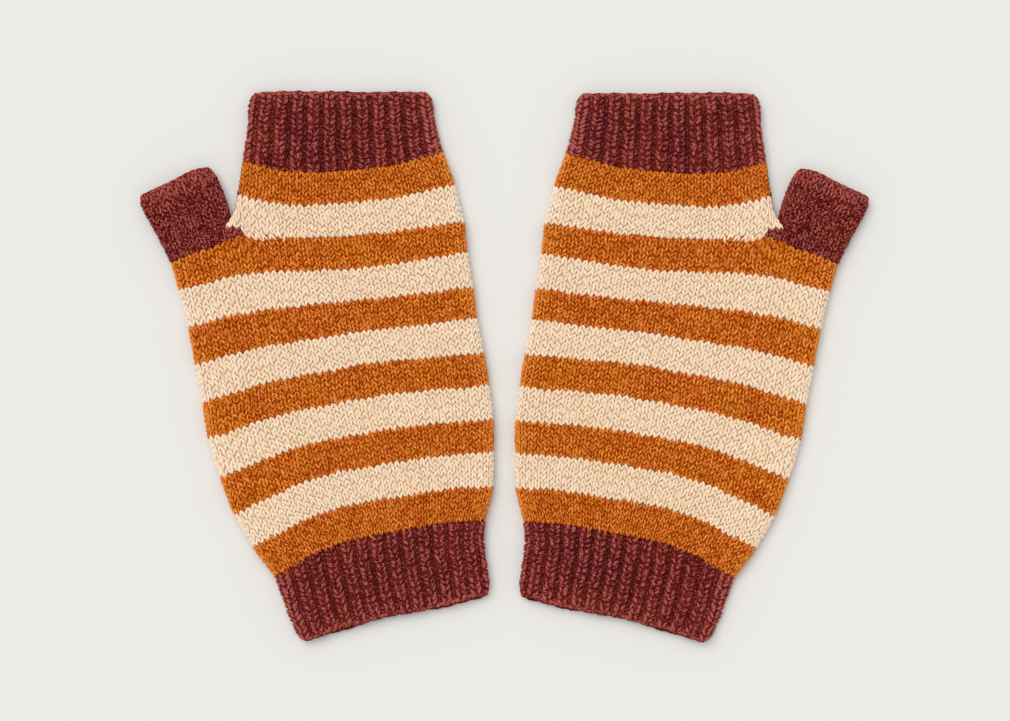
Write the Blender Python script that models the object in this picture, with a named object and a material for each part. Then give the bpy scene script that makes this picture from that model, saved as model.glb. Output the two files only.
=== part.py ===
"""A pair of fingerless knitted wrist warmers, lying flat side by side.

Each warmer is five knitted tubes: a ribbed cuff at the fingers, a short hand tube,
a striped palm tube, a ribbed cuff at the wrist, and a thumb that stands on the
palm's top row beside the hand tube. Every tube is a wall of wool around a thin
hollow, pressed flat, with round folds at both sides and a flat underside.

The left warmer is drawn from short tables of its knitted rows. The right one is
its mirror image, lying a little lower. Units are metres, and +Z is up.
"""

import math
from typing import NamedTuple

import bmesh
import bpy

MM = 0.001

# ---- driving dimensions, in millimetres --------------------------------------------
SEAM_GAP = 0.3          # between two tubes that are knitted on to each other
AIR_GAP = 0.6           # between a tube's upper and lower layer
PLAIN_WALL = 2.4        # stockinette fabric
RIB_WALL = 2.1          # ribbed fabric, at the bottom of a furrow
RIB_RISE = 1.0          # how far a rib stands above its furrows
RIM_ROUND = 0.9         # how far a cast-off edge rounds over
RIGHT_DROP = 0.5        # the right warmer lies this much nearer the wearer

# ---- counts ------------------------------------------------------------------------
HAND_RIBS = 24          # ribs all the way round the finger cuff
WRIST_RIBS = 28         # ribs all the way round the wrist cuff
POINTS_PER_RIB = 3      # one in the furrow and two on the ridge: two knit, one purl
HAND_FIRST_FURROW = 0   # the column that a cuff's first furrow runs along
WRIST_FIRST_FURROW = 1
ACROSS_PALM = 16        # flat steps across one layer of the palm
ACROSS_HAND = 14
ACROSS_THUMB = 6
ROUND_FOLD = 5          # steps round a side fold
RINGS_PER_STRIPE = 2    # so that the palm's outline bends smoothly

THUMB_SHARE = 0.245     # share of the palm's top row that belongs to the thumb


class Row(NamedTuple):
    """A knitted row as it lies: its two ends, and how it sags between them.

    The ends are millimetres from the middle of the pair. The dips are how far the
    row lies below the straight line between its ends, at one, two and three
    quarters of the way from the left end to the right.
    """

    left_x: float
    left_y: float
    right_x: float
    right_y: float
    dip_1: float
    dip_2: float
    dip_3: float


#                 left_x  left_y  right_x right_y  dip_1 dip_2 dip_3
PALM_ROWS = [
    Row(-119.8,   37.8,   -14.0,   52.3,  -5.5,  -1.7,  -0.3),
    Row(-116.9,   27.7,   -12.9,   41.7,  -3.0,  -0.3,   0.6),
    Row(-113.7,   14.5,   -10.9,   29.0,  -2.5,  -1.6,  -0.7),
    Row(-111.2,    1.4,    -9.5,   18.1,  -2.2,  -2.1,  -1.3),
    Row(-108.5,  -12.2,    -7.0,    5.5,  -2.8,  -3.5,  -2.3),
    Row(-106.5,  -25.1,    -5.2,   -5.9,  -3.2,  -4.0,  -2.6),
    Row(-102.2,  -39.2,    -3.6,  -17.9,  -4.5,  -5.0,  -2.9),
    Row(-97.2,   -52.4,    -3.6,  -29.5,  -5.3,  -5.6,  -3.3),
    Row(-90.4,   -64.3,    -3.8,  -42.2,  -5.7,  -5.8,  -3.7),
    Row(-82.6,   -74.6,    -6.6,  -54.1,  -5.5,  -5.0,  -3.4),
]
HAND_ROWS = [
    Row(-97.3,    55.7,   -15.9,   58.9,   3.6,   3.6,   2.4),
    Row(-95.8,    62.5,   -17.5,   65.9,   5.0,   4.8,   3.5),
    Row(-94.0,    74.3,   -21.7,   77.5,   5.0,   5.1,   4.0),
]
HAND_RIB_ROWS = [
    HAND_ROWS[-1],
    Row(-92.4,    85.4,   -24.3,   86.8,   2.6,   2.6,   2.0),
    Row(-91.8,    94.4,   -25.4,   94.6,   0.7,   0.7,   0.6),
    Row(-90.8,    97.4,   -26.7,   97.5,   0.2,   0.2,   0.2),
    Row(-88.4,    98.8,   -28.8,   98.8,   0.0,   0.0,   0.0),
]
WRIST_RIB_ROWS = [
    PALM_ROWS[-1],
    Row(-79.9,   -81.8,    -7.2,  -61.8,  -3.6,  -3.2,  -2.2),
    Row(-76.8,   -90.4,    -6.2,  -69.6,  -1.9,  -1.9,  -1.1),
    Row(-74.2,   -96.4,    -4.9,  -77.2,  -0.8,  -1.2,  -0.4),
    Row(-71.2,   -99.0,    -6.4,  -80.9,  -0.4,  -0.9,   0.0),
]
THUMB_ROWS = [
    Row(-125.5,   49.2,   -98.7,   58.0,   0.2,   0.3,   0.2),
    Row(-129.3,   56.4,  -101.7,   66.1,   0.1,   0.2,   0.1),
    Row(-130.9,   59.7,  -103.1,   69.6,   0.0,   0.0,   0.0),
    Row(-129.4,   61.8,  -104.4,   71.5,   0.0,   0.0,   0.0),
]

CREAM_HAND_ROWS = 2     # the hand tube's first stretches of rows are cream


class Yarn(NamedTuple):
    """A colour of wool, as red, green and blue in linear light."""

    name: str
    colour: tuple


BURGUNDY = Yarn("burgundy", (0.160, 0.023, 0.020))
MUSTARD = Yarn("mustard", (0.470, 0.112, 0.013))
CREAM = Yarn("cream", (0.790, 0.570, 0.385))
WOOL_ROUGHNESS = 0.92


class Stretch(NamedTuple):
    """A stretch of a row that another tube is knitted on to, a seam gap above it."""

    row: Row
    start: float
    end: float


# ---- rows ----------------------------------------------------------------------------
def smooth_between(knots, place):
    """Read a smooth curve through evenly spaced knots at a place from 0 to 1."""
    spans = len(knots) - 1
    span = min(int(place * spans), spans - 1)
    step = place * spans - span
    start, end = knots[span], knots[span + 1]
    before = knots[span - 1] if span > 0 else 2 * start - end
    after = knots[span + 2] if span + 2 <= spans else 2 * end - start
    leaving = (end - before) / 2
    arriving = (after - start) / 2
    bend = 3 * (end - start) - 2 * leaving - arriving
    twist = 2 * (start - end) + leaving + arriving
    return start + step * (leaving + step * (bend + step * twist))


def row_point(row, place):
    """Give the x and y of a row at a share of the way from its left to its right end."""
    if isinstance(row, Stretch):
        across, along = row_point(row.row, row.start + place * (row.end - row.start))
        return across, along + SEAM_GAP
    dip = smooth_between([0.0, row.dip_1, row.dip_2, row.dip_3, 0.0], place)
    across = row.left_x + place * (row.right_x - row.left_x)
    along = row.left_y + place * (row.right_y - row.left_y) - dip
    return across, along


def blend_rows(first, second, share):
    """Give the row that lies a share of the way from the first row to the second."""
    return Row(*(a + share * (b - a) for a, b in zip(first, second)))


def row_ends(row):
    """Give the left end and the right end of a row."""
    return row_point(row, 0.0), row_point(row, 1.0)


def row_width(row):
    """Measure a row from end to end."""
    return math.dist(*row_ends(row))


def rows_between(rows, parts):
    """Fill in rows so that every field runs smoothly through the given rows."""
    fields = list(zip(*rows))
    count = parts * (len(rows) - 1)
    return [Row(*(smooth_between(field, step / count) for field in fields))
            for step in range(count + 1)]


def rows_apart(first, second):
    """Measure how far apart the middles of two rows lie."""
    return math.dist(row_point(first, 0.5), row_point(second, 0.5))


def draw_back(rows, index, neighbour, distance):
    """Give the end row moved back towards its neighbour, to leave a gap beyond it."""
    share = distance / rows_apart(rows[index], rows[neighbour])
    return blend_rows(rows[index], rows[neighbour], share)


# ---- the outline of a flattened tube -------------------------------------------------
def plain_stations(across):
    """List places round a tube: even steps on each layer and round each side fold.

    A station is a side (0 top, 1 right fold, 2 underside, 3 left fold) and a share
    of the way along it, going from left to right over the top.
    """
    steps = [across, ROUND_FOLD, across, ROUND_FOLD]
    return [(side, step / count) for side, count in enumerate(steps) for step in range(count)]


def even_stations(count, first, width, height):
    """List places an equal distance apart all round a flattened tube, from a first column."""
    flat = width - height
    fold = math.pi * height / 2
    lengths = [flat, fold, flat, fold]
    spacing = sum(lengths) / count
    stations = []
    for step in range(count):
        distance = spacing * ((first + step) % count + 0.5)
        side = 0
        while distance > lengths[side]:
            distance -= lengths[side]
            side += 1
        stations.append((side, distance / lengths[side]))
    return stations


def outline_point(station, width, height, inset):
    """Give a place on a tube's cross-section and the direction that faces outwards.

    Returns how far across it lies from the left end, how high, and the outward
    direction as an across part and an up part.
    """
    side, share = station
    radius = height / 2
    flat = width - height
    if side == 0:
        centre, turn = radius + share * flat, math.pi / 2
    elif side == 1:
        centre, turn = radius + flat, math.pi * (0.5 - share)
    elif side == 2:
        centre, turn = radius + (1 - share) * flat, -math.pi / 2
    else:
        centre, turn = radius, -math.pi * (0.5 + share)
    out_across, out_up = math.cos(turn), math.sin(turn)
    reach = radius - inset
    return centre + reach * out_across, radius + reach * out_up, out_across, out_up


def rib_rise(column, out_up):
    """Tell how far a column of a ribbed cuff stands out; the underside stays flat."""
    in_furrow = column % POINTS_PER_RIB == 0
    return 0.0 if in_furrow else RIB_RISE * min(1.0, 1.0 + out_up)


def ring_points(row, stations, height, inset, ribbed):
    """Place one closed ring of points of a tube, in millimetres."""
    (left_x, left_y), (right_x, right_y) = row_ends(row)
    width = row_width(row)
    points = []
    for column, station in enumerate(stations):
        across, up, out_across, out_up = outline_point(station, width, height, inset)
        rise = rib_rise(column, out_up) if ribbed else 0.0
        place = (across + rise * out_across) / width
        sag_place = min(1.0, max(0.0, place))
        x, y = row_point(row, sag_place)
        overshoot = place - sag_place
        x += overshoot * (right_x - left_x)
        y += overshoot * (right_y - left_y)
        points.append((x, y, up + rise * out_up))
    return points


# ---- tubes -----------------------------------------------------------------------------
def tube_rings(rows, stations, wall, ribbed, round_last):
    """List a tube's rings: up its outside, over its last edge and back down its inside."""
    height = 2 * wall + AIR_GAP
    outer_rows = list(rows)
    inner_rows = list(rows)
    if round_last:
        outer_rows[-1] = draw_back(rows, -1, -2, RIM_ROUND)
        inner_rows[-1] = outer_rows[-1]
    rings = [ring_points(row, stations, height, 0.0, ribbed) for row in outer_rows]
    if round_last:
        rings.append(ring_points(rows[-1], stations, height, wall / 2, False))
    inside = [ring_points(row, stations, height, wall, False) for row in inner_rows]
    return rings + inside[::-1]


def band_slots(row_slots, end_bands):
    """List the material slot of each band of faces, in the order of a tube's rings.

    The bands run up the outside, over the last edge, back down the inside, and
    across the first edge.
    """
    return row_slots + [row_slots[-1]] * end_bands + row_slots[::-1] + [row_slots[0]]


def mesh_from_rings(name, rings, slots, mirrored):
    """Join rings into one closed wall, and mirror it for the right warmer."""
    sign, drop = (-1, RIGHT_DROP) if mirrored else (1, 0.0)
    model = bmesh.new()
    loops = []
    for ring in rings:
        loops.append([model.verts.new((sign * x * MM, (y - drop) * MM, z * MM)) for x, y, z in ring])
    for slot, current, following in zip(slots, loops, loops[1:] + loops[:1]):
        for column, vertex in enumerate(current):
            after = (column + 1) % len(current)
            corners = (vertex, current[after], following[after], following[column])
            model.faces.new(corners).material_index = slot
    bmesh.ops.triangulate(model, faces=model.faces)
    bmesh.ops.recalc_face_normals(model, faces=model.faces)
    mesh = bpy.data.meshes.new(name)
    model.to_mesh(mesh)
    model.free()
    return mesh


def wool(name, colour):
    """Make a matt wool material of one colour."""
    material = bpy.data.materials.new(name)
    material.use_nodes = True
    shader = material.node_tree.nodes["Principled BSDF"]
    shader.inputs["Base Color"].default_value = (*colour, 1.0)
    shader.inputs["Roughness"].default_value = WOOL_ROUGHNESS
    shader.inputs["Metallic"].default_value = 0.0
    return material


def add_piece(name, mesh, materials, parent):
    """Put a finished mesh in the scene as one named piece."""
    for material in materials:
        mesh.materials.append(material)
    mesh.shade_smooth()
    mesh.set_sharp_from_angle(angle=math.radians(50))
    piece = bpy.data.objects.new(name, mesh)
    piece.parent = parent
    bpy.context.scene.collection.objects.link(piece)


# ---- the pieces of one warmer -------------------------------------------------------------
def hand_tube_rows():
    """List the hand tube's rows, from the palm's top row to the finger cuff."""
    rows = [Stretch(PALM_ROWS[0], THUMB_SHARE, 1.0)] + HAND_ROWS
    return rows[:-1] + [draw_back(rows, -1, -2, SEAM_GAP / 2)]


def thumb_rows():
    """List the thumb's rows, from the palm's top row to its cast-off edge."""
    clear = SEAM_GAP / row_width(PALM_ROWS[0])
    return [Stretch(PALM_ROWS[0], 0.0, THUMB_SHARE - clear)] + THUMB_ROWS


def cuff_rows(rows):
    """List a cuff's rows, starting half a seam gap from the tube it is knitted on to."""
    return [draw_back(rows, 0, 1, SEAM_GAP / 2)] + rows[1:]


def add_tube(name, rows, stations, wall, row_slots, yarns, ribbed, round_last, mirrored, parent):
    """Add one knitted tube, whose row slots say which yarn each stretch of rows has."""
    rings = tube_rings(rows, stations, wall, ribbed, round_last)
    slots = band_slots(row_slots, 2 if round_last else 1)
    mesh = mesh_from_rings(name, rings, slots, mirrored)
    materials = [wool(f"{name}_{yarn.name}", yarn.colour) for yarn in yarns]
    add_piece(name, mesh, materials, parent)


def add_cuff(name, rows, ribs, first_furrow, mirrored, parent):
    """Add a ribbed cuff whose ribs stand out all round but for its flat underside."""
    middle_width = row_width(rows[len(rows) // 2])
    height = 2 * RIB_WALL + AIR_GAP
    stations = even_stations(ribs * POINTS_PER_RIB, first_furrow, middle_width, height)
    add_tube(name, cuff_rows(rows), stations, RIB_WALL, [0] * (len(rows) - 1), [BURGUNDY],
             ribbed=True, round_last=True, mirrored=mirrored, parent=parent)


def add_palm(name, mirrored, parent):
    """Add the palm tube, whose stripes are mustard and cream by turns."""
    stripes = len(PALM_ROWS) - 1
    rows = rows_between(PALM_ROWS, RINGS_PER_STRIPE)
    rows[-1] = draw_back(rows, -1, -2, SEAM_GAP / 2)
    row_slots = [stripe % 2 for stripe in range(stripes) for _ in range(RINGS_PER_STRIPE)]
    add_tube(name, rows, plain_stations(ACROSS_PALM), PLAIN_WALL, row_slots, [MUSTARD, CREAM],
             ribbed=False, round_last=False, mirrored=mirrored, parent=parent)


def add_hand(name, mirrored, parent):
    """Add the hand tube, with its cream stripe below its mustard one."""
    rows = hand_tube_rows()
    row_slots = [0] * CREAM_HAND_ROWS + [1] * (len(rows) - 1 - CREAM_HAND_ROWS)
    add_tube(name, rows, plain_stations(ACROSS_HAND), PLAIN_WALL, row_slots, [CREAM, MUSTARD],
             ribbed=False, round_last=False, mirrored=mirrored, parent=parent)


def add_thumb(name, mirrored, parent):
    """Add the plain thumb tube."""
    rows = thumb_rows()
    add_tube(name, rows, plain_stations(ACROSS_THUMB), PLAIN_WALL, [0] * (len(rows) - 1),
             [BURGUNDY], ribbed=False, round_last=True, mirrored=mirrored, parent=parent)


def add_warmer(side, mirrored):
    """Add the five knitted tubes of one wrist warmer."""
    holder = bpy.data.objects.new(f"{side}_warmer", None)
    bpy.context.scene.collection.objects.link(holder)
    add_cuff(f"{side}_hand_rib", HAND_RIB_ROWS, HAND_RIBS, HAND_FIRST_FURROW, mirrored, holder)
    add_hand(f"{side}_hand", mirrored, holder)
    add_palm(f"{side}_palm", mirrored, holder)
    add_cuff(f"{side}_wrist_rib", WRIST_RIB_ROWS, WRIST_RIBS, WRIST_FIRST_FURROW, mirrored, holder)
    add_thumb(f"{side}_thumb", mirrored, holder)


def centre_pair():
    """Move every warmer so the pair's footprint is centred on the origin."""
    bpy.context.view_layer.update()
    corners = []
    for piece in bpy.data.objects:
        if piece.type == "MESH":
            corners += [piece.matrix_world @ vertex.co for vertex in piece.data.vertices]
    middle_y = (min(c.y for c in corners) + max(c.y for c in corners)) / 2
    for holder in bpy.data.objects:
        if holder.type == "EMPTY":
            holder.location.y -= middle_y


def main():
    """Build the pair in an empty scene."""
    for old in list(bpy.data.objects):
        bpy.data.objects.remove(old, do_unlink=True)
    add_warmer("left", mirrored=False)
    add_warmer("right", mirrored=True)
    centre_pair()


main()
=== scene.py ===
"""Looks of a pair of fingerless knitted wrist warmers that lie flat side by side.

Every warmer is five knitted tubes. Each tube is a thin shell of cloth on the form of
its solid, with the stitches themselves on it: two yarn legs for a plain stitch, two
short bars for a purl stitch, and a strand along a rim. They are laid out by column
and course, as on a knitter's chart, and wrapped round the tube. The right warmer is
the left one's mirror image.
"""

import logging
import math
from dataclasses import dataclass
from enum import Enum
from functools import cache
from typing import NamedTuple, Optional, Sequence

import bmesh
import bpy
import numpy as np
from mathutils import Matrix, Vector


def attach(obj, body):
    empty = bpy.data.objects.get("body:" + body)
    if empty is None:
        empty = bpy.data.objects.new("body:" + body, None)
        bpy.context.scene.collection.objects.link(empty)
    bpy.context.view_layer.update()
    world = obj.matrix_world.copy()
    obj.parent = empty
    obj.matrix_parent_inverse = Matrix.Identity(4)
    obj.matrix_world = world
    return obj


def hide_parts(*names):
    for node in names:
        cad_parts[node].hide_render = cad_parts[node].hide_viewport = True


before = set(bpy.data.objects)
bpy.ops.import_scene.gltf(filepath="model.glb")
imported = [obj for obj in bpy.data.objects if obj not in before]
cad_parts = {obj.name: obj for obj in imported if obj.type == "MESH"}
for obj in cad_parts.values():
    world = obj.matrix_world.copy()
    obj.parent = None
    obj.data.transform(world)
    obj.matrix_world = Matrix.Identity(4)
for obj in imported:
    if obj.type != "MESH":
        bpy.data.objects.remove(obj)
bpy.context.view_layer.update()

LOG = logging.getLogger("wrist_warmers")
MM = 0.001
BODY = "root"

WALE_MM = 2.6           # width of a stitch
COURSE_MM = 1.75        # height of a stitch
YARN_RISE_MM = 1.1      # how far the stitches stand out of the cloth's shell
SHELL_MM = 0.7          # thickness of the shell behind the stitches
FOLD_COLUMNS = 1.8      # how many stitches the painted sheen at a fold reaches
RIM_COURSES = 2.0       # and how many courses the lighter wool at a rim reaches
STRIPE_COURSES = 7
PAIR_SHIFT_MM = 0.19    # how far the pair's middle lies beyond the middle of the tables
RIGHT_DROP_MM = 0.5     # the right warmer lies this much nearer the wearer
THUMB_SHARE = 0.225     # share of the palm's top row that belongs to the thumb
HAND_SHARE = 0.195      # where the hand starts on that row, to lap over the thumb
CREASE_FADE = 1.4       # how steeply a crease fades away from its middle
RIDGE_POWER = 0.5       # below 1, ribs have broad ridges and narrow furrows
FAINT_RIB_MM = 0.25     # how high the cloth lies where the ribs fade out

# how strong ribs are from a layer's middle to its folds, and where their strength changes along it
STRENGTH_ASIDE = ((0.0, 0.55, 0.95), (1.0, 0.9, 0.35))
STRENGTH_STEPS = (0.0, 0.22, 0.78, 1.0)

# waves of uneven knitting: how many stitches high, how fast by course and by column, and their turn
ASIDE_WAVES = ((0.07, 0.31, 0.13, 1.0), (0.05, 0.83, -0.41, 2.1))
AHEAD_WAVES = ((0.10, 0.11, 0.37, 1.7), (0.08, -0.23, 0.97, 0.6))


class Row(NamedTuple):
    """A knitted row as it lies, in millimetres from the middle of the pair.

    The dips say how far the row lies below the straight line between its ends, at
    one, two and three quarters of the way from its left end to its right end.
    """

    left_x: float
    left_y: float
    right_x: float
    right_y: float
    dip_1: float
    dip_2: float
    dip_3: float


#                 left_x  left_y  right_x right_y  dip_1 dip_2 dip_3
PALM_ROWS = (
    Row(-82.6,   -74.6,    -6.6,  -54.1,  -5.5,  -5.0,  -3.4),
    Row(-90.4,   -64.3,    -3.8,  -42.2,  -5.7,  -5.8,  -3.7),
    Row(-97.2,   -52.4,    -3.6,  -29.5,  -5.3,  -5.6,  -3.3),
    Row(-102.2,  -39.2,    -3.6,  -17.9,  -4.5,  -5.0,  -2.9),
    Row(-106.5,  -25.1,    -5.2,   -5.9,  -3.2,  -4.0,  -2.6),
    Row(-108.5,  -12.2,    -7.0,    5.5,  -2.8,  -3.5,  -2.3),
    Row(-111.2,    1.4,    -9.5,   18.1,  -2.2,  -2.1,  -1.3),
    Row(-113.7,   14.5,   -10.9,   29.0,  -2.5,  -1.6,  -0.7),
    Row(-116.9,   27.7,   -12.9,   41.7,  -3.0,  -0.3,   0.6),
    Row(-119.8,   37.8,   -14.0,   52.3,  -5.5,  -1.7,  -0.3),
)
HAND_ROWS = (
    Row(-100.6,   49.9,   -15.0,   56.0,   1.6,   2.7,   1.9),
    Row(-97.3,    55.7,   -16.2,   60.3,   3.2,   3.6,   2.5),
    Row(-95.8,    62.5,   -17.5,   65.9,   5.0,   4.8,   3.5),
    Row(-94.0,    74.3,   -21.7,   77.5,   5.0,   5.1,   4.0),
)
HAND_RIB_ROWS = (
    HAND_ROWS[-1],
    Row(-92.4,    85.4,   -24.3,   86.8,   2.6,   2.6,   2.0),
    Row(-91.8,    94.4,   -25.4,   94.6,   0.7,   0.7,   0.6),
    Row(-91.4,    98.0,   -25.9,   98.0,   0.1,   0.1,   0.0),
)
WRIST_RIB_ROWS = (
    Row(-73.8,   -97.4,    -4.7,  -79.7,  -1.1,  -1.3,  -0.1),
    Row(-76.8,   -90.4,    -6.2,  -70.4,  -1.9,  -1.9,  -0.9),
    Row(-79.9,   -81.8,    -7.2,  -61.8,  -3.6,  -3.2,  -2.2),
    PALM_ROWS[0],
)
THUMB_ROWS = (
    Row(-125.6,   49.2,   -98.7,   58.0,   0.2,   0.3,   0.2),
    Row(-129.6,   56.4,  -101.7,   66.4,  -0.2,  -0.4,  -0.4),
    Row(-131.3,   60.2,  -103.9,   71.0,  -0.5,  -1.2,  -1.2),
)


class Side(Enum):
    """Which warmer of the pair, by the sign of its x."""

    LEFT = 1
    RIGHT = -1


# ---- finishes ----
@dataclass(frozen=True)
class Wool:
    """A colour of wool yarn, as linear light."""

    name: str
    slot: str
    deep: tuple[float, float, float]
    body: tuple[float, float, float]
    bright: tuple[float, float, float]
    patch: tuple[float, float, float]
    grain: float
    fuzz: float
    sheen: float

    def shader(self, kind: str, group: bpy.types.NodeTree, bump_mm: float) -> bpy.types.Material:
        """Make a material that draws its colour and relief from a shared node group.

        Args:
            kind: What the material is for, which ends its name.
            group: The node group, with a Color and a Height.
            bump_mm: Height of the relief, in millimetres.

        Returns:
            The material.
        """
        material, shader = new_material(f"{self.name}_{kind}")
        tree = material.node_tree
        look = tree.nodes.new("ShaderNodeGroup")
        look.node_tree = group
        colours = {"Deep": self.deep, "Body": self.body, "Bright": self.bright, "Patch": self.patch}
        for socket, colour in colours.items():
            look.inputs[socket].default_value = (*colour, 1.0)
        look.inputs["Grain"].default_value = self.grain
        look.inputs["Fuzz"].default_value = self.fuzz
        bump = tree.nodes.new("ShaderNodeBump")
        bump.inputs["Strength"].default_value = 0.6
        bump.inputs["Distance"].default_value = bump_mm * MM
        tree.links.new(look.outputs["Color"], shader.inputs["Base Color"])
        tree.links.new(look.outputs["Height"], bump.inputs["Height"])
        tree.links.new(bump.outputs["Normal"], shader.inputs["Normal"])
        shader.inputs["Roughness"].default_value = 0.85
        shader.inputs["Specular IOR Level"].default_value = 0.02
        shader.inputs["Sheen Weight"].default_value = self.sheen
        shader.inputs["Sheen Roughness"].default_value = 0.45
        shader.inputs["Sheen Tint"].default_value = (*self.bright, 1.0)
        return material

    @cache
    def yarn(self) -> bpy.types.Material:
        """Make the stitches' material, once for all pieces."""
        return self.shader("yarn", yarn_group(), 0.15)

    @cache
    def cloth(self) -> bpy.types.Material:
        """Make the material of the cloth behind the stitches, once for all pieces."""
        return self.shader("cloth", purl_group(), 0.5)


BURGUNDY = Wool(
    "burgundy", "burgundy_wool",
    deep=(0.068, 0.0016, 0.0010), body=(0.235, 0.0285, 0.0205),
    bright=(0.430, 0.1050, 0.0860), patch=(0.170, 0.0190, 0.0230), grain=1.2, fuzz=9.0,
    sheen=0.30)
MUSTARD = Wool(
    "mustard", "mustard_wool",
    deep=(0.310, 0.0230, 0.0004), body=(0.515, 0.0960, 0.0055),
    bright=(0.830, 0.2950, 0.0550), patch=(0.530, 0.1330, 0.0030), grain=1.0, fuzz=4.5,
    sheen=0.25)
CREAM = Wool(
    "cream", "cream_wool",
    deep=(0.800, 0.5750, 0.3400), body=(0.870, 0.6850, 0.4950),
    bright=(0.930, 0.8050, 0.6700), patch=(0.860, 0.6600, 0.4600), grain=0.65, fuzz=3.0,
    sheen=0.10)


def new_material(name: str) -> tuple[bpy.types.Material, bpy.types.Node]:
    """Make an empty node material.

    Args:
        name: The material's name.

    Returns:
        The material and its Principled shader node.
    """
    material = bpy.data.materials.new(name)
    material.use_nodes = True
    return material, material.node_tree.nodes["Principled BSDF"]


def mesh_of(model: bmesh.types.BMesh, name: str) -> bpy.types.Mesh:
    """Make a mesh from a finished model, and free the model.

    Args:
        model: The model.
        name: The mesh's name.

    Returns:
        The mesh.
    """
    mesh = bpy.data.meshes.new(name)
    model.to_mesh(mesh)
    model.free()
    return mesh


def put_in_scene(data: bpy.types.ID) -> bpy.types.Object:
    """Put something in the scene.

    Args:
        data: A mesh, lamp or camera.

    Returns:
        The object that holds it, under its name.
    """
    made = bpy.data.objects.new(data.name, data)
    bpy.context.scene.collection.objects.link(made)
    return made


class LookMaker:
    """Builds a look of wool, a node group from colours, a grain and a fuzz to a Color and a Height."""

    def __init__(self, name: str) -> None:
        """Start a look with its sockets.

        Args:
            name: The look's name.
        """
        self.tree = bpy.data.node_groups.new(name, "ShaderNodeTree")
        self.inlet = self.tree.nodes.new("NodeGroupInput")
        self.outlet = self.tree.nodes.new("NodeGroupOutput")
        for colour in ("Deep", "Body", "Bright", "Patch"):
            self.socket(colour, "NodeSocketColor")
        self.socket("Grain", "NodeSocketFloat")
        self.socket("Fuzz", "NodeSocketFloat")
        self.socket("Color", "NodeSocketColor", out=True)
        self.socket("Height", "NodeSocketFloat", out=True)

    def socket(self, name: str, kind: str, out: bool = False) -> None:
        """Add an input or an output socket of a kind, such as NodeSocketColor."""
        self.tree.interface.new_socket(name, in_out="OUTPUT" if out else "INPUT", socket_type=kind)

    def node(self, kind: str, **settings: object) -> bpy.types.Node:
        """Add a node.

        Args:
            kind: The node's type, without the ShaderNode in front.
            **settings: Attributes to set, or sockets where the name isn't an attribute.

        Returns:
            The node.
        """
        made = self.tree.nodes.new(f"ShaderNode{kind}")
        for name, value in settings.items():
            if hasattr(made, name):
                setattr(made, name, value)
            else:
                made.inputs[name.replace("_", " ")].default_value = value
        return made

    def link(self, start: bpy.types.NodeSocket, end: bpy.types.NodeSocket) -> None:
        """Join two sockets."""
        self.tree.links.new(start, end)

    def maths(self, operation: str, first: bpy.types.NodeSocket,
              second: bpy.types.NodeSocket | float = 0.0) -> bpy.types.NodeSocket:
        """Add a Math node.

        Args:
            operation: What it does, such as MULTIPLY.
            first: A socket.
            second: A socket or a number.

        Returns:
            Its output socket.
        """
        made = self.node("Math", operation=operation)
        self.link(first, made.inputs[0])
        if isinstance(second, bpy.types.NodeSocket):
            self.link(second, made.inputs[1])
        else:
            made.inputs[1].default_value = second
        return made.outputs[0]

    def mix(self, share: bpy.types.NodeSocket, first: bpy.types.NodeSocket,
            second: bpy.types.NodeSocket) -> bpy.types.NodeSocket:
        """Mix two colours.

        Args:
            share: How much of the second colour there is.
            first: The first colour.
            second: The second colour.

        Returns:
            The mixed colour.
        """
        made = self.node("Mix", data_type="RGBA")
        for place, socket in {0: share, 6: first, 7: second}.items():
            self.link(socket, made.inputs[place])
        return made.outputs[2]

    def ramp(self, value: bpy.types.NodeSocket, low: float, high: float) -> bpy.types.NodeSocket:
        """Stretch a value smoothly to between 0 and 1.

        Args:
            value: The value.
            low: What becomes 0.
            high: What becomes 1.

        Returns:
            The stretched value.
        """
        made = self.node("MapRange", interpolation_type="SMOOTHSTEP")
        made.inputs["From Min"].default_value = low
        made.inputs["From Max"].default_value = high
        self.link(value, made.inputs["Value"])
        return made.outputs["Result"]

    def noise(self, **settings: float) -> bpy.types.NodeSocket:
        """Add a noise in the piece's own space.

        Args:
            **settings: What its sockets are set to.

        Returns:
            Its value.
        """
        made = self.node("TexNoise", **settings)
        self.link(self.node("TexCoord").outputs["Object"], made.inputs["Vector"])
        return made.outputs["Fac"]

    def map(self, name: str) -> tuple[bpy.types.NodeSocket, bpy.types.NodeSocket]:
        """Read one of the piece's maps.

        Args:
            name: The map's name.

        Returns:
            Its two coordinates.
        """
        split = self.node("SeparateXYZ")
        self.link(self.node("UVMap", uv_map=name).outputs["UV"], split.inputs[0])
        return split.outputs["X"], split.outputs["Y"]

    def shade(self, light: bpy.types.NodeSocket) -> None:
        """Turn a lightness into the wool's colour, with patches.

        Args:
            light: The lightness, from about -1 to 1.
        """
        wool = self.inlet.outputs
        share = self.ramp(self.noise(Scale=85.0, Detail=2.0), 0.38, 0.66)
        base = self.mix(share, wool["Body"], wool["Patch"])
        grain = self.maths("MULTIPLY", light, wool["Grain"])
        lit = self.mix(self.ramp(grain, 0.0, 1.0), base, wool["Bright"])
        shaded = self.mix(self.ramp(grain, 0.0, -1.0), lit, wool["Deep"])
        self.link(shaded, self.outlet.inputs["Color"])


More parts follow.
